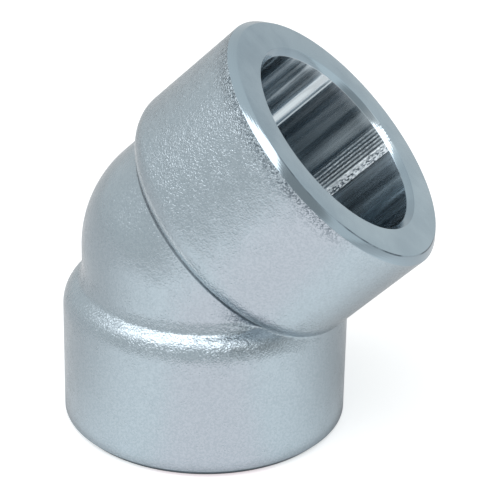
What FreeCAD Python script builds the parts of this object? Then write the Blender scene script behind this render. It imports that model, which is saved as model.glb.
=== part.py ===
import FreeCAD, Part
import math
import os
import Sketcher

# A forged forty-five degree elbow with plain welding sockets, one solid piece.
# The lower mouth stands on the XY plane round the origin and faces down the Z axis.
# The upper mouth leans towards +X. Both axes lie in the XZ plane, which halves the
# part, and they meet at the bend centre. The upper half mirrors the lower one across
# the mitre plane, which halves the bend. Lengths are in millimetres.

DIMENSIONS = {
    "collar_diameter": 38.8,
    "centre_to_face": 24.9,
    "bend_angle": 45.0,
    "shoulder_setback": 8.5,
    "shoulder_radius": 4.2,
    "body_step": 2.6,
    "crease_radius": 2.0,
    "rim_chamfer": 0.9,
    "socket_diameter": 27.2,
    "socket_depth": 13.0,
    "mouth_chamfer": 0.75,
    "waterway_diameter": 20.9,
    "drill_angle": 118.0,
}
FULL_TURN = 360.0
START, END, CENTRE = range(1, 4)
X_AXIS, Y_AXIS = range(-1, -3, -1)
ORIGIN = X_AXIS

doc = FreeCAD.newDocument("elbow")
sizes = doc.addObject("Spreadsheet::Sheet", "sizes")
for row, (name, value) in enumerate(DIMENSIONS.items(), start=1):
    sizes.set(f"A{row}", name)
    sizes.set(f"B{row}", str(value))
    sizes.setAlias(f"B{row}", name)
doc.recompute()


def size(name):
    return float(sizes.get(name))


def point(x, y):
    return FreeCAD.Vector(x, y, 0)


def bearing(centre, place):
    """The angle at which a place lies round a centre."""
    return math.atan2(place.y - centre.y, place.x - centre.x)


def origin_plane(role):
    for feature in body.Origin.OriginFeatures:
        if feature.Role == role:
            return feature
    raise RuntimeError("no origin feature " + role)


def attach(item, role):
    item.AttachmentSupport = (origin_plane(role), [""])
    item.MapMode = "FlatFace"


class Section:
    """A closed outline of lines and arcs in the XZ plane, to be turned round the Z axis.

    centres maps each curved side to its arc centre, and hollows names the curved sides
    that bend inwards. smooth_ends lists the sides that run on smoothly into the next.
    """

    def __init__(self, name, corners, centres=None, hollows=(), smooth_ends=()):
        self.sketch = body.newObject("Sketcher::SketchObject", name)
        attach(self.sketch, "XZ_Plane")
        self.hollows = hollows
        centres = centres or {}
        followers = corners[1:] + corners[:1]
        for side, (start, end) in enumerate(zip(corners, followers)):
            self.draw(side, start, end, centres.get(side))
        for side in range(len(corners)):
            following = (side + 1) % len(corners)
            joint = "Tangent" if side in smooth_ends else "Coincident"
            self.tie(joint, side, self.last(side), following, self.first(following))

    def draw(self, side, start, end, centre):
        if centre is None:
            self.sketch.addGeometry(Part.LineSegment(start, end), False)
            return
        if side in self.hollows:
            start, end = end, start
        upwards = FreeCAD.Vector(0, 0, 1)
        circle = Part.Circle(centre, upwards, (start - centre).Length)
        arc = Part.ArcOfCircle(circle, bearing(centre, start), bearing(centre, end))
        self.sketch.addGeometry(arc, False)

    def first(self, side):
        return END if side in self.hollows else START

    def last(self, side):
        return START if side in self.hollows else END

    def tie(self, kind, *places):
        self.sketch.addConstraint(Sketcher.Constraint(kind, *places))

    def measure(self, name, kind, places, value, expression):
        """Adds a dimension, names it and binds it to the named sizes."""
        index = self.sketch.addConstraint(Sketcher.Constraint(kind, *places, value))
        self.sketch.renameConstraint(index, name)
        self.sketch.setExpression("Constraints." + name, expression)

    def across(self, name, side, place, value, expression):
        """Sets a point's distance from the turning axis."""
        self.measure(name, "DistanceX", (ORIGIN, START, side, place), value, expression)

    def along(self, name, side, place, value, expression):
        """Sets a point's height above the mouth."""
        self.measure(name, "DistanceY", (ORIGIN, START, side, place), value, expression)


def turn(kind, name, section):
    """Turns a section all the way round the lower axis."""
    feature = body.newObject(kind, name)
    feature.Profile = section.sketch
    feature.ReferenceAxis = (section.sketch, ["V_Axis"])
    feature.Angle = FULL_TURN
    doc.recompute()
    return feature


def new_mitre_plane():
    """The plane that halves the bend, upright on the bisector of the two axes."""
    plane = body.newObject("PartDesign::Plane", "mitre_plane")
    attach(plane, "XY_Plane")
    plane.AttachmentOffset = FreeCAD.Placement(
        FreeCAD.Vector(0, 0, size("centre_to_face")),
        FreeCAD.Rotation(FreeCAD.Vector(0, 1, 0), size("bend_angle") / 2),
    )
    plane.setExpression("AttachmentOffset.Base.z", "sizes.centre_to_face")
    plane.setExpression("AttachmentOffset.Rotation.Angle", "sizes.bend_angle / 2")
    doc.recompute()
    return plane


def mirror(feature, name):
    """Repeats a lower feature at the upper end, across the mitre plane."""
    twin = body.newObject("PartDesign::Mirrored", name)
    twin.Originals = [feature]
    twin.MirrorPlane = (mitre_plane, [""])
    body.Tip = twin
    doc.recompute()
    return twin


def outer_meeting(left_centre, left_reach, right_centre, right_reach):
    """The place at these two distances from the centres, on the outer side of the wall."""
    line = right_centre - left_centre
    span = line.Length
    line.normalize()
    along = (left_reach**2 - right_reach**2 + span**2) / (2 * span)
    aside = math.sqrt(left_reach**2 - along**2)
    return left_centre + line * along + point(line.y, -line.x) * aside


def forged_section():
    """Half section of the lower half of the forging.

    From the axis outwards: machined face, rim chamfer, straight side, rounded back
    shoulder, hollow crease, and the ball round the bend centre. The crease rolls
    between shoulder and ball and touches both.
    """
    rim = size("rim_chamfer")
    radius = size("collar_diameter") / 2
    rounding = size("shoulder_radius")
    crease = size("crease_radius")
    ball = radius - size("body_step")
    centre_height = size("centre_to_face")
    shoulder = centre_height - size("shoulder_setback")
    shoulder_centre = point(radius - rounding, shoulder)
    ball_centre = point(0, centre_height)
    hollow_centre = outer_meeting(
        shoulder_centre, rounding + crease, ball_centre, ball + crease
    )
    to_shoulder = (shoulder_centre - hollow_centre).normalize() * crease
    to_ball = (ball_centre - hollow_centre).normalize() * crease
    face, side, shoulder_arc, crease_arc, ball_arc, axis = 0, 2, 3, 4, 5, 6
    section = Section(
        "forged_section",
        [
            point(0, 0),
            point(radius - rim, 0),
            point(radius, rim),
            point(radius, shoulder),
            hollow_centre + to_shoulder,
            hollow_centre + to_ball,
            point(0, centre_height + ball),
        ],
        centres={
            shoulder_arc: shoulder_centre,
            crease_arc: hollow_centre,
            ball_arc: ball_centre,
        },
        hollows=(crease_arc,),
        smooth_ends=(side, shoulder_arc, crease_arc),
    )
    section.tie("Coincident", face, START, ORIGIN, START)
    section.tie("Horizontal", face)
    section.tie("Vertical", side)
    section.tie("Vertical", axis)
    section.tie("PointOnObject", ball_arc, CENTRE, Y_AXIS)
    section.across("face_radius", face, END, radius - rim,
                   "sizes.collar_diameter / 2 - sizes.rim_chamfer")
    section.across("side_radius", side, START, radius, "sizes.collar_diameter / 2")
    section.along("rim", side, START, rim, "sizes.rim_chamfer")
    section.along("shoulder", side, END, shoulder,
                  "sizes.centre_to_face - sizes.shoulder_setback")
    section.along("bend_centre", ball_arc, CENTRE, centre_height, "sizes.centre_to_face")
    section.measure("rounding", "Radius", (shoulder_arc,), rounding,
                    "sizes.shoulder_radius")
    section.measure("crease", "Radius", (crease_arc,), crease, "sizes.crease_radius")
    section.measure("ball", "Radius", (ball_arc,), ball,
                    "sizes.collar_diameter / 2 - sizes.body_step")
    doc.recompute()
    return section


def passage_section():
    """Half section of the lower hollow.

    From the mouth inwards: lead-in chamfer, plain socket for the pipe, flat stop, and
    the drilled waterway, whose full width reaches the bend centre.
    """
    lead = size("mouth_chamfer")
    socket = size("socket_diameter") / 2
    waterway = size("waterway_diameter") / 2
    depth = size("socket_depth")
    centre = size("centre_to_face")
    drill_point = waterway / math.tan(math.radians(size("drill_angle") / 2))
    mouth, wall, stop, bore, axis = 0, 2, 3, 4, 6
    section = Section(
        "passage_section",
        [
            point(0, 0),
            point(socket + lead, 0),
            point(socket, lead),
            point(socket, depth),
            point(waterway, depth),
            point(waterway, centre),
            point(0, centre + drill_point),
        ],
    )
    section.tie("Coincident", mouth, START, ORIGIN, START)
    section.tie("Horizontal", mouth)
    section.tie("Vertical", wall)
    section.tie("Horizontal", stop)
    section.tie("Vertical", bore)
    section.tie("Vertical", axis)
    section.across("mouth_radius", mouth, END, socket + lead,
                   "sizes.socket_diameter / 2 + sizes.mouth_chamfer")
    section.across("socket_radius", wall, START, socket, "sizes.socket_diameter / 2")
    section.across("waterway_radius", bore, START, waterway,
                   "sizes.waterway_diameter / 2")
    section.along("lead", wall, START, lead, "sizes.mouth_chamfer")
    section.along("depth", wall, END, depth, "sizes.socket_depth")
    section.along("bend_centre", bore, END, centre, "sizes.centre_to_face")
    section.along("drill_point", axis, START, centre + drill_point,
                  "sizes.centre_to_face + sizes.waterway_diameter / 2"
                  " / tan(sizes.drill_angle / 2 * 1deg)")
    doc.recompute()
    return section


def check_model():
    for item in doc.Objects:
        if "Invalid" in item.State or "Error" in item.State:
            raise RuntimeError(item.Name + " failed")
    if body.Shape.isNull() or not body.Shape.isValid():
        raise RuntimeError("the elbow has no valid shape")
    if len(body.Shape.Solids) != 1:
        raise RuntimeError("the elbow is not one solid")


body = doc.addObject("PartDesign::Body", "elbow_body")
body.Label = "elbow_body"
body.Placement = FreeCAD.Placement()

lower_half = turn("PartDesign::Revolution", "lower_half", forged_section())
mitre_plane = new_mitre_plane()
mirror(lower_half, "upper_half")

forged_volume = body.Shape.Volume
lower_passage = turn("PartDesign::Groove", "lower_passage", passage_section())
bored_volume = body.Shape.Volume
mirror(lower_passage, "upper_passage")
if not forged_volume > bored_volume > body.Shape.Volume:
    raise RuntimeError("a passage cuts nothing")

check_model()
os.makedirs("parts", exist_ok=True)
body.Shape.exportStep(os.path.join("parts", body.Label + ".step"))
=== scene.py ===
import math

import bpy
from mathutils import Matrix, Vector


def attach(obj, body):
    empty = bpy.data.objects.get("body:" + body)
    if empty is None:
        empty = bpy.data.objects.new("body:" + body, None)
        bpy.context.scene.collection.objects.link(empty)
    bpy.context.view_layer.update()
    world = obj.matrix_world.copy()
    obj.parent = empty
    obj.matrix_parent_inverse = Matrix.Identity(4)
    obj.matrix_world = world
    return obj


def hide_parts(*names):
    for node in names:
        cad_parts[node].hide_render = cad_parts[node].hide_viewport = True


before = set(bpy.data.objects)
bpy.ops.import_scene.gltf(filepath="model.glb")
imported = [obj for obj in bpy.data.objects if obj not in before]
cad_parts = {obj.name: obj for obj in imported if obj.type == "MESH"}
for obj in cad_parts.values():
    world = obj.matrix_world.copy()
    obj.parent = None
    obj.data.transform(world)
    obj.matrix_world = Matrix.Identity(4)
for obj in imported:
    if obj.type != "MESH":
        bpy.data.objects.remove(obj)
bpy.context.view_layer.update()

MM = 0.001

# The elbow's sizes, the same as in the CAD part, in metres.
COLLAR = 19.4 * MM
CENTRE_TO_FACE = 24.9 * MM
BEND = math.radians(45)
SHOULDER = CENTRE_TO_FACE - 8.5 * MM
SHOULDER_ROUND = 4.2 * MM
BALL = COLLAR - 2.6 * MM
RIM_CHAMFER = 0.9 * MM
SOCKET = 13.6 * MM
SOCKET_DEPTH = 13.0 * MM
MOUTH_CHAMFER = 0.75 * MM
WATERWAY = 10.45 * MM
DRILL_HALF_ANGLE = math.radians(59)

# The crease is drawn tighter here than in the CAD part, as the photograph shows it.
CREASE_ROUND = 0.9 * MM
BROKEN_EDGE = 0.08 * MM
SHARP_EDGE = math.radians(12)
STEPS_ROUND = 256

BEND_CENTRE = Vector((0, 0, CENTRE_TO_FACE))
MITRE_NORMAL = Vector((math.sin(BEND / 2), 0, math.cos(BEND / 2)))


# Modelling tools

def deselect_all():
    for item in bpy.context.selected_objects:
        item.select_set(False)
    bpy.context.view_layer.objects.active = None


def pick(piece):
    """Selects one piece and nothing else."""
    deselect_all()
    piece.select_set(True)
    bpy.context.view_layer.objects.active = piece


def edit(piece):
    """Opens one piece in edit mode, with nothing else selected."""
    pick(piece)
    bpy.ops.object.mode_set(mode="EDIT")
    bpy.ops.mesh.select_mode(type="VERT")


def finish_edit():
    bpy.ops.object.mode_set(mode="OBJECT")


def select(piece, wanted):
    """Selects, in edit mode, the vertices whose place passes the test."""
    bpy.ops.mesh.select_all(action="DESELECT")
    bpy.ops.object.mode_set(mode="OBJECT")
    for vertex in piece.data.vertices:
        vertex.select = wanted(vertex.co)
    bpy.ops.object.mode_set(mode="EDIT")


def start_outline(name, place):
    """Starts a drawn outline: a small plane, merged into one selected vertex."""
    deselect_all()
    bpy.ops.mesh.primitive_plane_add(size=MM, location=place)
    piece = bpy.context.active_object
    piece.name = name
    bpy.ops.object.transform_apply(location=True, rotation=True, scale=True)
    edit(piece)
    bpy.ops.mesh.select_all(action="SELECT")
    bpy.ops.mesh.merge(type="CENTER")
    return piece


def run(outwards, upwards, steps=1):
    """Draws a straight run on from the selected end of the outline."""
    for _ in range(steps):
        bpy.ops.mesh.extrude_region_move(
            TRANSFORM_OT_translate={"value": (outwards / steps, 0, upwards / steps)})


def arc(centre, angle, steps):
    """Draws an arc on from the selected end, anticlockwise seen from the front."""
    bpy.ops.mesh.spin(steps=steps, angle=-angle, center=(centre.x, 0, centre.y),
                      axis=(0, -1, 0))


# The elbow

SHOULDER_CENTRE = Vector((COLLAR - SHOULDER_ROUND, SHOULDER))
BALL_CENTRE = Vector((0, CENTRE_TO_FACE))


def draw_wall():
    """Draws the lower half's wall, from the drill point out and over the ball.

    The crease rolls from the shoulder onto a short straight neck, which runs up to the
    widest place of the ball round the bend centre. Both ends of the outline lie beyond
    the mitre plane, where the halves are cut.
    """
    across = BALL + CREASE_ROUND - SHOULDER_CENTRE.x
    shoulder_end = math.acos(across / (SHOULDER_ROUND + CREASE_ROUND))
    crease_centre = Vector((BALL + CREASE_ROUND, SHOULDER_CENTRE.y + math.sin(shoulder_end)
                            * (SHOULDER_ROUND + CREASE_ROUND)))
    start = 2.5 * MM
    drilled = (WATERWAY - start) / math.tan(DRILL_HALF_ANGLE)
    near_shoulder = 4 * MM
    piece = start_outline("forged_elbow", (start, 0, CENTRE_TO_FACE + drilled))
    run(WATERWAY - start, -drilled)
    run(0, SOCKET_DEPTH - CENTRE_TO_FACE, 6)
    run(SOCKET - WATERWAY, 0)
    run(0, MOUTH_CHAMFER - SOCKET_DEPTH, 8)
    run(MOUTH_CHAMFER, -MOUTH_CHAMFER)
    run(COLLAR - RIM_CHAMFER - SOCKET - MOUTH_CHAMFER, 0)
    run(RIM_CHAMFER, RIM_CHAMFER)
    run(0, SHOULDER - RIM_CHAMFER - near_shoulder, 8)
    run(0, near_shoulder, 8)
    arc(SHOULDER_CENTRE, shoulder_end, 28)
    arc(crease_centre, -shoulder_end, 10)
    run(0, CENTRE_TO_FACE - crease_centre.y, 20)
    arc(BALL_CENTRE, math.radians(36), 64)
    return piece


def break_edges(piece):
    """Takes the sharpness off the four machined edges of a mouth."""
    edges = (Vector((SOCKET, 0, MOUTH_CHAMFER)), Vector((SOCKET + MOUTH_CHAMFER, 0, 0)),
             Vector((COLLAR - RIM_CHAMFER, 0, 0)), Vector((COLLAR, 0, RIM_CHAMFER)))
    select(piece, lambda place: min((place - edge).length for edge in edges) < 0.01 * MM)
    bpy.ops.mesh.bevel(offset=BROKEN_EDGE, segments=3, affect="VERTICES")


def turn_wall(piece):
    """Turns the drawn wall all round the lower axis and closes the seam."""
    bpy.ops.mesh.select_all(action="SELECT")
    bpy.ops.mesh.spin(steps=STEPS_ROUND, angle=2 * math.pi, center=(0, 0, 0),
                      axis=(0, 0, 1))
    bpy.ops.mesh.select_all(action="SELECT")
    bpy.ops.mesh.remove_doubles(threshold=0.005 * MM)


def keep_turned_place(piece):
    """Stores where each point lies on the lathe, for the marks that follow the tool.

    The upper half is mirrored with these places, so there they run the same way: Z from
    the mouth inwards, and +X on the inner side of the bend.
    """
    finish_edit()
    places = [0.0] * (3 * len(piece.data.vertices))
    piece.data.vertices.foreach_get("co", places)
    attribute = piece.data.attributes.new("turned_place", "FLOAT_VECTOR", "POINT")
    attribute.data.foreach_set("vector", places)


def add_upper_half(piece):
    """Cuts the half along the mitre plane and mirrors it there."""
    edit(piece)
    bpy.ops.mesh.select_all(action="SELECT")
    bpy.ops.mesh.bisect(plane_co=BEND_CENTRE, plane_no=MITRE_NORMAL, clear_outer=True,
                        threshold=0.01 * MM)
    finish_edit()
    deselect_all()
    bpy.ops.object.empty_add(location=BEND_CENTRE, rotation=(0, BEND / 2, 0))
    mitre = bpy.context.active_object
    pick(piece)
    twin = piece.modifiers.new("upper_half", "MIRROR")
    twin.mirror_object = mitre
    twin.use_axis = (False, False, True)
    twin.merge_threshold = 0.02 * MM
    bpy.ops.object.modifier_apply(modifier=twin.name)
    bpy.data.objects.remove(mitre)
    edit(piece)
    bpy.ops.mesh.select_all(action="SELECT")
    bpy.ops.mesh.remove_doubles(threshold=0.02 * MM)
    bpy.ops.mesh.normals_make_consistent(inside=False)


def in_valley(place):
    """True near the line in the mitre plane where the two shoulders meet."""
    reach = place - BEND_CENTRE
    off_plane = abs(reach.dot(MITRE_NORMAL))
    return reach.length > BALL + 0.15 * MM and off_plane < 1.6 * MM


def on_lower_crease(lowest, highest):
    """A test for places round the lower crease between two heights, clear of the valley."""
    def wanted(place):
        off_plane = (place - BEND_CENTRE).dot(MITRE_NORMAL)
        outside = math.hypot(place.x, place.y) > BALL - 0.5 * MM
        return outside and off_plane < -0.6 * MM and lowest < place.z < highest
    return wanted


def soften_forging(piece):
    """Rounds the valley and fills the lower crease, where the dies are worn."""
    fill = 1.013
    select(piece, in_valley)
    bpy.ops.mesh.vertices_smooth(factor=0.5, repeat=14)
    select(piece, on_lower_crease(20.35 * MM, 20.95 * MM))
    bpy.ops.transform.resize(value=(fill, fill, 1), center_override=(0, 0, 20.6 * MM),
                             use_proportional_edit=True, proportional_size=0.8 * MM,
                             proportional_edit_falloff="SMOOTH")
    select(piece, on_lower_crease(19.7 * MM, 22.2 * MM))
    bpy.ops.mesh.vertices_smooth(factor=0.5, repeat=16)


elbow = draw_wall()
break_edges(elbow)
turn_wall(elbow)
keep_turned_place(elbow)
add_upper_half(elbow)
soften_forging(elbow)
finish_edit()
pick(elbow)
bpy.ops.object.shade_smooth_by_angle(angle=SHARP_EDGE)
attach(elbow, "root")
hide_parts("elbow_body")


# Materials

# The kind of change from one value to another that starts and ends gently.
SOFT = "SMOOTHSTEP"


def linear(hex_colour):
    """The linear colour of an sRGB hex value."""
    channels = [int(hex_colour[i:i + 2], 16) / 255 for i in (1, 3, 5)]
    return tuple(c / 12.92 if c <= 0.04045 else ((c + 0.055) / 1.055) ** 2.4
                 for c in channels) + (1.0,)


def add_node(tree, kind, **values):
    """Adds a node with its settings and links, given by name.

    A name in small letters is a setting. A capital starts an input's name, and i and a
    number stand for the input at that place. A node given as a value is linked from its
    first output in use.
    """
    node = tree.nodes.new("ShaderNode" + kind)
    for name, value in values.items():
        if name.islower() and not name[1:].isdigit():
            setattr(node, name, value)
            continue
        key = int(name[1:]) if name[1:].isdigit() else name.replace("_", " ")
        if isinstance(value, bpy.types.Node):
            value = next(output for output in value.outputs if output.enabled)
        if isinstance(value, bpy.types.NodeSocket):
            tree.links.new(value, node.inputs[key])
        else:
            node.inputs[key].default_value = value
    return node


def new_material(name):
    """A new material and its node tree, still empty."""
    material = bpy.data.materials.new(name)
    material.use_nodes = True
    material.node_tree.nodes.clear()
    return material, material.node_tree


def place_on_lathe(tree):
    """The place that was stored before the half was mirrored, and its X, Y and Z."""
    place = add_node(tree, "Attribute", attribute_name="turned_place").outputs["Vector"]
    return place, add_node(tree, "SeparateXYZ", Vector=place).outputs


def on_upper_half(tree):
    """1 above the mitre plane, 0 below it."""
    place = add_node(tree, "TexCoord").outputs["Object"]
    from_bend = add_node(tree, "VectorMath", operation="SUBTRACT", i0=place, i1=BEND_CENTRE)
    above = add_node(tree, "VectorMath", operation="DOT_PRODUCT", i0=from_bend,
                     i1=MITRE_NORMAL)
    return add_node(tree, "Math", operation="GREATER_THAN", i0=above, i1=0.0)


def way_out(tree):
    """The way out of the mouth that a place belongs to, along the axis it was turned on."""
    return add_node(tree, "Mix", data_type="VECTOR", Factor=on_upper_half(tree),
                    i4=(0, 0, -1), i5=(math.sin(BEND), 0, math.cos(BEND)))


def six_fine_lines(tree, angle):
    """Six fine lines along the bore, 0.5 mm apart, in a band about 67 degrees round it."""
    middle, half_width = math.radians(67), math.radians(6.3)
    pitch = 0.4968 * MM
    in_line_band = add_node(tree, "Math", operation="COMPARE", i0=angle, i1=middle, i2=half_width)
    lines = add_node(tree, "Math", operation="MULTIPLY", i0=angle,
                     i1=2 * math.pi * SOCKET / pitch)
    wave = add_node(tree, "Math", operation="SINE", i0=lines)
    ridges = add_node(tree, "MapRange", Value=wave, From_Min=-0.7, From_Max=0.6)
    return add_node(tree, "Math", operation="MULTIPLY", i0=ridges, i1=in_line_band)


def forged_skin():
    """Carbon steel, hot forged and shot blasted: a satin grey that mirrors the room softly.

    The dies leave waves about 6 mm wide, and the blast leaves cleaner and duller patches
    of about 2.5 mm. The shot's own dents are 0.1 to 0.2 mm wide, too fine to show, so they
    are drawn 0.3 mm wide, with their ridges a shade lighter than their floors. They are
    deepest on the upper collar's outer side, where the light grazes it, and round the rim
    and the shoulders, where the steel flowed last. Painted shade lies in the fold of the
    upper crease as a dark line, the dent floors beside the rim and near the valley are
    darker, and light is painted on the edge above that fold, where the crease shades it.
    """
    die_wave, patch, dent = 6.25 * MM, 2.381 * MM, 0.28571 * MM
    wave_height, dent_depth = 0.07 * MM, 0.22 * MM
    shoulder, edge, fold = 18 * MM, 19.4 * MM, 20.45 * MM
    valley = (9 * MM, -15 * MM, 22.5 * MM)

    material, tree = new_material("shot_blasted_carbon_steel")
    place = add_node(tree, "TexCoord").outputs["Object"]
    _, section = place_on_lathe(tree)
    upper = on_upper_half(tree)
    waves = add_node(tree, "TexNoise", Vector=place, Scale=1 / die_wave, Detail=1.0)
    patches = add_node(tree, "TexNoise", Vector=place, Scale=1 / patch, Detail=2.0)
    grain = add_node(tree, "TexNoise", Vector=place, Scale=1 / dent, Detail=1.0,
                     Distortion=0.8)

    # How deep the dents are, from 0.32 on plain places up.
    outer = add_node(tree, "MapRange", interpolation_type=SOFT, Value=section["X"],
                     From_Min=-1.5 * MM, From_Max=-6 * MM)
    collar = add_node(tree, "MapRange", interpolation_type=SOFT, Value=section["Z"],
                      From_Min=17 * MM, From_Max=20 * MM, To_Min=1.0, To_Max=0.0)
    outer = add_node(tree, "Math", operation="MULTIPLY", i0=outer, i1=collar)
    outer = add_node(tree, "Math", operation="MULTIPLY", i0=outer, i1=upper)
    rim = add_node(tree, "MapRange", interpolation_type=SOFT, Value=section["Z"],
                   From_Min=1.5 * MM, From_Max=4.5 * MM, To_Min=1.0, To_Max=0.0)
    rim = add_node(tree, "Math", operation="MULTIPLY", i0=outer, i1=rim)
    off_shoulder = add_node(tree, "Math", operation="SUBTRACT", i0=section["Z"],
                            i1=shoulder)
    off_shoulder = add_node(tree, "Math", operation="ABSOLUTE", i0=off_shoulder)
    flowed = add_node(tree, "MapRange", interpolation_type=SOFT, Value=off_shoulder,
                      From_Min=1.5 * MM, From_Max=4.5 * MM, To_Min=0.25, To_Max=0.0)
    coarse = add_node(tree, "Math", operation="MULTIPLY", i0=outer, i1=0.5)
    coarse = add_node(tree, "Math", operation="MAXIMUM", i0=coarse, i1=flowed)
    coarse = add_node(tree, "Math", operation="ADD", i0=rim, i1=coarse)
    depth = add_node(tree, "Math", operation="MULTIPLY_ADD", i0=coarse, i1=0.68, i2=0.32)
    patchy = add_node(tree, "MapRange", interpolation_type=SOFT, Value=patches,
                      From_Min=0.3, From_Max=0.7, To_Min=0.5, To_Max=1.0)
    depth = add_node(tree, "Math", operation="MULTIPLY", i0=depth, i1=patchy)
    height = add_node(tree, "Math", operation="MULTIPLY", i0=grain, i1=depth)
    hammered = add_node(tree, "Bump", Height=waves, Distance=wave_height, Strength=1.0)
    blasted = add_node(tree, "Bump", Height=height, Distance=dent_depth, Strength=1.0,
                       Normal=hammered)

    # Ridges a shade lighter, and light painted on the edge above the fold.
    off_edge = add_node(tree, "Math", operation="SUBTRACT", i0=section["Z"], i1=edge)
    off_edge = add_node(tree, "Math", operation="ABSOLUTE", i0=off_edge)
    # Painted light: the edge above the upper fold is lightened where the crease shades it.
    painted_light = add_node(tree, "MapRange", interpolation_type=SOFT, Value=off_edge,
                      From_Min=0.5 * MM, From_Max=1.1 * MM, To_Min=0.65, To_Max=0.0)
    painted_light = add_node(tree, "Math", operation="MULTIPLY", i0=painted_light, i1=upper)
    ridges = add_node(tree, "MapRange", interpolation_type=SOFT, Value=grain,
                      From_Min=0.35, From_Max=0.65, To_Min=0.0, To_Max=0.11)
    bright = add_node(tree, "Math", operation="MAXIMUM", i0=painted_light, i1=ridges)
    colour = add_node(tree, "Mix", data_type="RGBA", Factor=bright, i6=linear("#9DAAB2"),
                      i7=linear("#DCE6EB"))

    # Painted shade as a dark line in the fold; the dent floors beside the rim and near the
    # valley are darker.
    # Painted shade: a thin dark line along the upper crease.
    painted_fold_shade = add_node(tree, "Math", operation="COMPARE", i0=section["Z"], i1=fold,
                      i2=0.2 * MM)
    painted_fold_shade = add_node(tree, "Math", operation="MULTIPLY", i0=painted_fold_shade, i1=upper)
    painted_fold_shade = add_node(tree, "Math", operation="MULTIPLY", i0=painted_fold_shade, i1=0.7)
    off_valley = add_node(tree, "VectorMath", operation="DISTANCE", i0=place, i1=valley)
    wrinkled = add_node(tree, "MapRange", interpolation_type=SOFT, Value=off_valley,
                        From_Min=1.0 * MM, From_Max=4.0 * MM, To_Min=0.5, To_Max=0.0)
    off_inner = add_node(tree, "MapRange", interpolation_type=SOFT, Value=section["X"],
                         From_Min=10 * MM, From_Max=3 * MM, To_Min=0.0, To_Max=0.8)
    beside_rim = add_node(tree, "MapRange", interpolation_type=SOFT, Value=section["Z"],
                          From_Min=RIM_CHAMFER, From_Max=RIM_CHAMFER + 2.6 * MM,
                          To_Min=1.0, To_Max=0.0)
    beside_rim = add_node(tree, "Math", operation="MULTIPLY", i0=off_inner, i1=beside_rim)
    beside_rim = add_node(tree, "Math", operation="MULTIPLY", i0=beside_rim, i1=upper)
    floors = add_node(tree, "MapRange", interpolation_type=SOFT, Value=grain,
                      From_Min=0.35, From_Max=0.6, To_Min=1.0, To_Max=0.0)
    # The darker dent floors and the painted shade of the fold, together.
    scale = add_node(tree, "Math", operation="MAXIMUM", i0=beside_rim, i1=wrinkled)
    scale = add_node(tree, "Math", operation="MULTIPLY", i0=scale, i1=floors)
    scale = add_node(tree, "Math", operation="MAXIMUM", i0=scale, i1=painted_fold_shade)
    colour = add_node(tree, "Mix", data_type="RGBA", Factor=scale, i6=colour,
                      i7=linear("#4C5962"))

    roughness = add_node(tree, "MapRange", interpolation_type=SOFT, Value=patches,
                         From_Min=0.3, From_Max=0.7, To_Min=0.15, To_Max=0.21)
    steel = add_node(tree, "BsdfPrincipled", Base_Color=colour, Metallic=1.0,
                     Roughness=roughness, Normal=blasted)
    add_node(tree, "OutputMaterial", Surface=steel)
    return material


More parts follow.
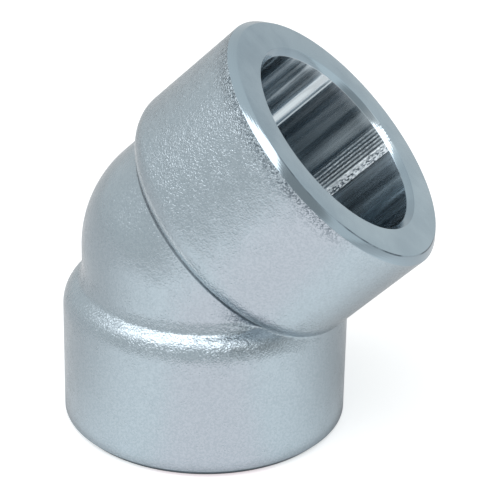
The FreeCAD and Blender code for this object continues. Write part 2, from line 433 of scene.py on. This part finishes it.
def machined_face():
    """Carbon steel faced and chamfered on a lathe: a flat, even, cool grey ring.

    The tool leaves feed rings 0.2 mm apart, far too shallow to see one by one, which draw
    the reflections out a little. Cutting oil dries in clouds about 7 mm wide. A thin dark
    line along the edge of the rim chamfer is a painted dark reflection, and the rim chamfer
    is painted a darker grey as painted shade. Light is painted on the face towards the
    inner side of the bend and on the mouth chamfer beside the fine lines, which are dark
    ticks there. The mouth chamfer has painted shade towards the inner side.
    """
    feed_pitch, feed_height, cloud = 0.2 * MM, 0.0012 * MM, 7.143 * MM
    rim_edge, mouth_edge = COLLAR - RIM_CHAMFER, SOCKET + MOUTH_CHAMFER

    material, tree = new_material("turned_carbon_steel")
    place = add_node(tree, "TexCoord").outputs["Object"]
    turned, section = place_on_lathe(tree)
    flat = add_node(tree, "VectorMath", operation="MULTIPLY", i0=turned, i1=(1, 1, 0))
    radius = add_node(tree, "VectorMath", operation="LENGTH", i0=flat)
    cloudy = add_node(tree, "TexNoise", Vector=place, Scale=1 / cloud, Detail=5.0,
                      Roughness=0.6)
    rings = add_node(tree, "Math", operation="MULTIPLY", i0=radius,
                     i1=2 * math.pi / feed_pitch)
    feed = add_node(tree, "Math", operation="SINE", i0=rings)
    bump = add_node(tree, "Bump", Height=feed, Distance=feed_height, Strength=1.0)

    # The steel is lighter where oil has dried. Painted light makes it lighter towards the
    # inner side of the bend, and painted shade gives the rim chamfer a darker grey.
    oil = add_node(tree, "MapRange", interpolation_type=SOFT, Value=cloudy,
                   From_Min=0.3, From_Max=0.7, To_Min=0.0, To_Max=0.5)
    # Painted light: lighter towards the inner side of the bend.
    inner = add_node(tree, "MapRange", interpolation_type=SOFT, Value=section["X"],
                     From_Min=-15 * MM, From_Max=15 * MM, To_Min=0.0, To_Max=0.5)
    light = add_node(tree, "Math", operation="ADD", i0=oil, i1=inner)
    colour = add_node(tree, "Mix", data_type="RGBA", Factor=light, i6=linear("#97AAB6"),
                      i7=linear("#B4C6D0"))
    # Painted shade: the rim chamfer gets a darker grey than the face.
    on_rim = add_node(tree, "Math", operation="GREATER_THAN", i0=radius, i1=rim_edge)
    colour = add_node(tree, "Mix", data_type="RGBA", Factor=on_rim, i6=colour,
                      i7=linear("#A0B1BB"))
    at_mouth = add_node(tree, "Math", operation="LESS_THAN", i0=radius, i1=mouth_edge)
    off_marks = add_node(tree, "Math", operation="SUBTRACT", i0=section["X"], i1=4.8 * MM)
    off_marks = add_node(tree, "Math", operation="ABSOLUTE", i0=off_marks)
    # Painted highlight: the mouth chamfer is lightened beside the fine lines.
    painted_light = add_node(tree, "MapRange", interpolation_type=SOFT, Value=off_marks,
                      From_Min=2 * MM, From_Max=4 * MM, To_Min=0.3, To_Max=0.0)
    painted_light = add_node(tree, "Math", operation="MULTIPLY", i0=painted_light, i1=at_mouth)
    colour = add_node(tree, "Mix", data_type="RGBA", Factor=painted_light, i6=colour,
                      i7=linear("#E8F0F4"))

    # The dark places: a painted dark reflection along the rim chamfer's edge, dark ticks
    # along the fine lines on the mouth chamfer, and painted shade on the mouth chamfer
    # towards the inner side.
    # Painted reflection: a thin dark line along the rim chamfer's edge, broken up by the
    # clouds.
    painted_dark_edge = add_node(tree, "Math", operation="COMPARE", i0=radius, i1=rim_edge, i2=0.09 * MM)
    broken = add_node(tree, "MapRange", interpolation_type=SOFT, Value=cloudy,
                      From_Min=0.4, From_Max=0.55, To_Min=0.1, To_Max=1.0)
    painted_dark_edge = add_node(tree, "Math", operation="MULTIPLY", i0=painted_dark_edge, i1=broken)
    near_side = add_node(tree, "MapRange", interpolation_type=SOFT, Value=section["X"],
                         From_Min=-12 * MM, From_Max=0.0)
    painted_dark_edge = add_node(tree, "Math", operation="MULTIPLY", i0=painted_dark_edge, i1=near_side)
    angle = add_node(tree, "Math", operation="ARCTAN2", i0=section["Y"], i1=section["X"])
    ticks = add_node(tree, "Math", operation="MULTIPLY", i0=six_fine_lines(tree, angle),
                     i1=at_mouth)
    ticks = add_node(tree, "Math", operation="MULTIPLY", i0=ticks, i1=0.55)
    # Painted shade: the mouth chamfer darkens towards the inner side.
    painted_mouth_shade = add_node(tree, "MapRange", interpolation_type=SOFT, Value=section["X"],
                    From_Min=7.5 * MM, From_Max=10.5 * MM, To_Min=0.0, To_Max=0.36)
    painted_mouth_shade = add_node(tree, "Math", operation="MULTIPLY", i0=at_mouth, i1=painted_mouth_shade)
    dark = add_node(tree, "Math", operation="MAXIMUM", i0=painted_dark_edge, i1=ticks)
    dark = add_node(tree, "Math", operation="MAXIMUM", i0=dark, i1=painted_mouth_shade)
    colour = add_node(tree, "Mix", data_type="RGBA", Factor=dark, i6=colour,
                      i7=linear("#5E6C76"))

    steel = add_node(tree, "BsdfPrincipled", Base_Color=colour, Metallic=1.0,
                     Roughness=0.13, Normal=bump)
    add_node(tree, "OutputMaterial", Surface=steel)
    return material


# How bright the bore's painted highlight bands are, by the angle round it in degrees; the
# bands also lean the wall and make it smoother.
PAINTED_HIGHLIGHT_BANDS = (
    (31, 0.0), (37, 0.34), (43, 0.04), (54, 0.04), (66, 0.36), (75, 0.42), (79, 0.45),
    (86, 0.38), (100, 0.37), (108.3, 0.35), (108.8, 0.8), (109.6, 0.45), (110.8, 0.48),
    (112.5, 0.92), (114.4, 0.95), (116.8, 0.47), (121, 0.44), (127, 0.57), (133, 0.5),
    (140, 0.58), (150, 0.46),
)


def machined_bore():
    """Carbon steel bored with a tool: a dark glossy tube, streaked along its length.

    The streaks are about 1 mm wide and run the whole socket. Bright bands round the wall
    are painted highlights, given by the angle round it. Beside six fine lines along the
    bore a grainy band is painted bright as well, with chips 0.2 mm wide. The painted bands
    lean towards the mouth, and so they catch the light from outside. The wall's grey is
    painted darker than the face's, as painted shade in the bore.
    """
    streak, streak_height, chip = 1.111 * MM, 0.02 * MM, 0.2222 * MM
    band_middle, band_half_width = math.radians(58.6), math.radians(2.6)

    material, tree = new_material("bored_carbon_steel")
    turned, section = place_on_lathe(tree)
    angle = add_node(tree, "Math", operation="ARCTAN2", i0=section["Y"], i1=section["X"])
    in_socket = add_node(tree, "Math", operation="LESS_THAN", i0=section["Z"],
                         i1=SOCKET_DEPTH - 0.1 * MM)
    drawn_out = add_node(tree, "VectorMath", operation="MULTIPLY", i0=turned,
                         i1=(1, 1, 0.03))
    streaks = add_node(tree, "TexNoise", Vector=drawn_out, Scale=1 / streak, Detail=3.0,
                       Roughness=0.6)
    bump = add_node(tree, "Bump", Height=streaks, Distance=streak_height, Strength=1.0)

    # Painted highlight: bright bands round the wall, by the angle.
    half_turn = add_node(tree, "MapRange", Value=angle, From_Min=0.0, From_Max=math.pi)
    painted_light = add_node(tree, "ValToRGB", Fac=half_turn)
    stops = painted_light.color_ramp.elements
    stops.remove(stops[-1])
    stops[0].position, stops[0].color = 0.0, (0, 0, 0, 1)
    for degrees, value in PAINTED_HIGHLIGHT_BANDS:
        stops.new(degrees / 180).color = (value, value, value, 1)
    broken = add_node(tree, "MapRange", interpolation_type=SOFT, Value=streaks,
                      From_Min=0.3, From_Max=0.6, To_Min=0.86, To_Max=1.0)
    painted_light = add_node(tree, "Math", operation="MULTIPLY", i0=painted_light, i1=broken)
    painted_light = add_node(tree, "Math", operation="MULTIPLY", i0=painted_light, i1=in_socket)

    chips = add_node(tree, "VectorMath", operation="MULTIPLY", i0=turned, i1=(1, 1, 0.5))
    chips = add_node(tree, "TexNoise", Vector=chips, Scale=1 / chip, Detail=2.0)
    # Painted highlight: a grainy band near 59 degrees, with the six fine lines near 67
    # degrees bright too.
    painted_band = add_node(tree, "Math", operation="COMPARE", i0=angle, i1=band_middle,
                    i2=band_half_width)
    chipped = add_node(tree, "MapRange", interpolation_type=SOFT, Value=chips,
                       From_Min=0.3, From_Max=0.7, To_Min=0.1, To_Max=0.65)
    painted_band = add_node(tree, "Math", operation="MULTIPLY", i0=painted_band, i1=chipped)
    marked = add_node(tree, "MapRange", interpolation_type=SOFT, Value=chips,
                      From_Min=0.3, From_Max=0.7, To_Min=0.25, To_Max=0.45)
    painted_band = add_node(tree, "Math", operation="MULTIPLY_ADD", i0=six_fine_lines(tree, angle),
                    i1=marked, i2=painted_band)
    painted_band = add_node(tree, "Math", operation="MULTIPLY", i0=painted_band, i1=in_socket)

    # How far the wall leans out: the painted highlight bands more than the painted grainy
    # band.
    out = way_out(tree)
    band_lean = add_node(tree, "MapRange", interpolation_type=SOFT, Value=painted_light,
                        From_Min=0.2, From_Max=1.0, To_Min=0.05, To_Max=1.0)
    deeper = add_node(tree, "MapRange", interpolation_type=SOFT, Value=section["Z"],
                      From_Min=0.0, From_Max=8 * MM, To_Min=0.6, To_Max=1.05)
    lean = add_node(tree, "Math", operation="MULTIPLY", i0=band_lean, i1=deeper)
    lean = add_node(tree, "Math", operation="MULTIPLY_ADD", i0=painted_band, i1=0.45, i2=lean)
    lean = add_node(tree, "VectorMath", operation="SCALE", i0=out, Scale=lean)
    leaning = add_node(tree, "VectorMath", operation="ADD", i0=bump, i1=lean)
    leaning = add_node(tree, "VectorMath", operation="NORMALIZE", i0=leaning)

    # Painted reflection and shade: the wall's own grey is darker than the face's, and the
    # painted bands lighten it.
    bright = add_node(tree, "Math", operation="MAXIMUM", i0=painted_light, i1=painted_band)
    colour = add_node(tree, "Mix", data_type="RGBA", Factor=bright, i6=linear("#74848E"),
                      i7=linear("#E4EDF2"))
    wear = add_node(tree, "MapRange", interpolation_type=SOFT, Value=streaks,
                    From_Min=0.3, From_Max=0.7, To_Min=0.18, To_Max=0.3)
    smoother = add_node(tree, "Math", operation="MULTIPLY_ADD", i0=painted_light, i1=-0.55, i2=1.0)
    wear = add_node(tree, "Math", operation="MULTIPLY", i0=wear, i1=smoother)
    wear = add_node(tree, "Math", operation="MULTIPLY_ADD", i0=painted_band, i1=0.25, i2=wear)
    steel = add_node(tree, "BsdfPrincipled", Base_Color=colour, Metallic=1.0,
                     Roughness=wear, Anisotropic=1.0, Tangent=out, Normal=leaning)
    add_node(tree, "OutputMaterial", Surface=steel)
    return material


for material in (forged_skin(), machined_face(), machined_bore()):
    elbow.data.materials.append(material)

SKIN, FACE, BORE = range(3)


def finish_of(place):
    """Which finish a face has, by its place in the half that was turned."""
    radius = math.hypot(place.x, place.y)
    if radius < SOCKET + 0.02 * MM:
        return BORE
    if place.z < RIM_CHAMFER - 0.02 * MM and radius < COLLAR - 0.01 * MM:
        return FACE
    return SKIN


turned = elbow.data.attributes["turned_place"].data
for face in elbow.data.polygons:
    middle = sum((turned[v].vector for v in face.vertices), Vector()) / len(face.vertices)
    face.material_index = finish_of(middle)


# Stage, lights and camera

def seen_in_gloss(tree):
    """1 for a ray from the camera or off a shiny surface, 0 for scattered light."""
    path = add_node(tree, "LightPath").outputs
    seen = add_node(tree, "Math", operation="MAXIMUM", i0=path["Is Camera Ray"],
                    i1=path["Is Glossy Ray"])
    return add_node(tree, "Math", operation="MAXIMUM", i0=seen,
                    i1=path["Is Transmission Ray"])


def new_stage():
    """A floor of pale matt paper, lit by the room.

    To the camera it is white. The steel mirrors it dimmer, with a painted pool of light
    in front of the part and nothing bright under its foot.
    """
    deselect_all()
    bpy.ops.mesh.primitive_plane_add(size=4)
    floor = bpy.context.active_object
    floor.name = "studio_floor"
    material, tree = new_material("pale_studio_paper")
    place = add_node(tree, "TexCoord").outputs["Object"]
    reach = add_node(tree, "VectorMath", operation="LENGTH", i0=place)
    heading = add_node(tree, "VectorMath", operation="NORMALIZE", i0=place)
    ahead = add_node(tree, "VectorMath", operation="DOT_PRODUCT", i0=heading,
                     i1=(0.3, -0.95, 0))
    mirrored = add_node(tree, "MapRange", Value=reach, From_Min=50 * MM,
                        From_Max=400 * MM, To_Min=0.2, To_Max=0.24)
    # Painted light: a pool of light on the floor in front of the part, seen only in the
    # steel.
    painted_light_pool = add_node(tree, "MapRange", interpolation_type=SOFT, Value=ahead,
                    From_Min=-0.3, From_Max=0.8, To_Min=0.0, To_Max=0.49)
    near = add_node(tree, "MapRange", interpolation_type=SOFT, Value=reach,
                    From_Min=120 * MM, From_Max=190 * MM, To_Min=1.0, To_Max=0.0)
    mirrored = add_node(tree, "Math", operation="MULTIPLY_ADD", i0=painted_light_pool, i1=near,
                        i2=mirrored)
    off_foot = add_node(tree, "MapRange", interpolation_type=SOFT, Value=reach,
                        From_Min=19 * MM, From_Max=22.5 * MM)
    mirrored = add_node(tree, "Math", operation="MULTIPLY", i0=mirrored, i1=off_foot)
    camera_ray = add_node(tree, "LightPath").outputs["Is Camera Ray"]
    white = add_node(tree, "Math", operation="MULTIPLY", i0=camera_ray, i1=0.62)
    glow = add_node(tree, "Math", operation="MAXIMUM", i0=mirrored, i1=white)
    glow = add_node(tree, "Math", operation="MULTIPLY", i0=glow, i1=seen_in_gloss(tree))
    # The painted pool of light is tinted a little warm right in front.
    in_front = add_node(tree, "MapRange", interpolation_type=SOFT, Value=ahead,
                        From_Min=0.83, From_Max=0.97)
    tint = add_node(tree, "Mix", data_type="RGBA", Factor=in_front, i6=linear("#FCFFFF"),
                    i7=linear("#FFF3F5"))
    glow = add_node(tree, "Emission", Color=tint, Strength=glow)
    paper = add_node(tree, "BsdfDiffuse", Color=linear("#E0E1E2"))
    both = add_node(tree, "AddShader", i0=paper, i1=glow)
    add_node(tree, "OutputMaterial", Surface=both)
    floor.data.materials.append(material)


def new_world():
    """A pale room, white to the camera, with a dimmer side behind and a dark corner."""
    world = bpy.data.worlds.new("studio")
    world.use_nodes = True
    tree = world.node_tree
    tree.nodes.clear()
    towards = add_node(tree, "TexCoord").outputs["Generated"]
    behind = add_node(tree, "VectorMath", operation="DOT_PRODUCT", i0=towards,
                      i1=(0.42, 0.9, 0.1))
    shade = add_node(tree, "MapRange", interpolation_type=SOFT, Value=behind,
                     From_Min=0.3, From_Max=1.0, To_Min=0.93, To_Max=0.74)
    beside = add_node(tree, "VectorMath", operation="DOT_PRODUCT", i0=towards,
                      i1=(0.703, -0.457, 0.545))
    corner = add_node(tree, "MapRange", interpolation_type=SOFT, Value=beside,
                      From_Min=0.9, From_Max=0.975, To_Min=1.0, To_Max=0.48)
    shade = add_node(tree, "Math", operation="MULTIPLY", i0=shade, i1=corner)
    camera_ray = add_node(tree, "LightPath").outputs["Is Camera Ray"]
    seen = add_node(tree, "Math", operation="MAXIMUM", i0=shade, i1=camera_ray)
    room = add_node(tree, "Background", Color=linear("#FFFFFF"), Strength=0.45)
    mirrored = add_node(tree, "Background", Color=linear("#FDFFFF"), Strength=seen)
    both = add_node(tree, "MixShader", i0=seen_in_gloss(tree), i1=room, i2=mirrored)
    add_node(tree, "OutputWorld", Surface=both)
    bpy.context.scene.world = world


def hang_soft_box(name, place, width, depth, power):
    """Hangs a soft box over the floor, facing straight down."""
    light = bpy.data.lights.new(name, "AREA")
    light.shape = "RECTANGLE"
    light.size = width
    light.size_y = depth
    light.energy = power
    light.color = linear("#FFF9F8")[:3]
    lamp = bpy.data.objects.new(name, light)
    lamp.location = place
    bpy.context.scene.collection.objects.link(lamp)


new_stage()
new_world()

# Each box's name, place, width and depth in metres, and power in watts.
hang_soft_box("overhead_box", (-0.065, -0.215, 0.5), 0.71, 0.31, 1.75)
hang_soft_box("side_box", (-0.64, -0.14, 0.5), 0.44, 0.4, 0.62)

# The camera was fitted to the collars' outlines in the photograph.
camera_data = bpy.data.cameras.new("photo_camera")
camera_data.lens = 151.19
camera = bpy.data.objects.new("photo_camera", camera_data)
camera.location = (0.0621879, -0.2476801, 0.1478324)
camera.rotation_euler = [math.radians(a) for a in (64.14195, -1.11512, 13.30662)]
bpy.context.scene.collection.objects.link(camera)
bpy.context.scene.camera = camera
bpy.context.scene.view_settings.view_transform = "Standard"
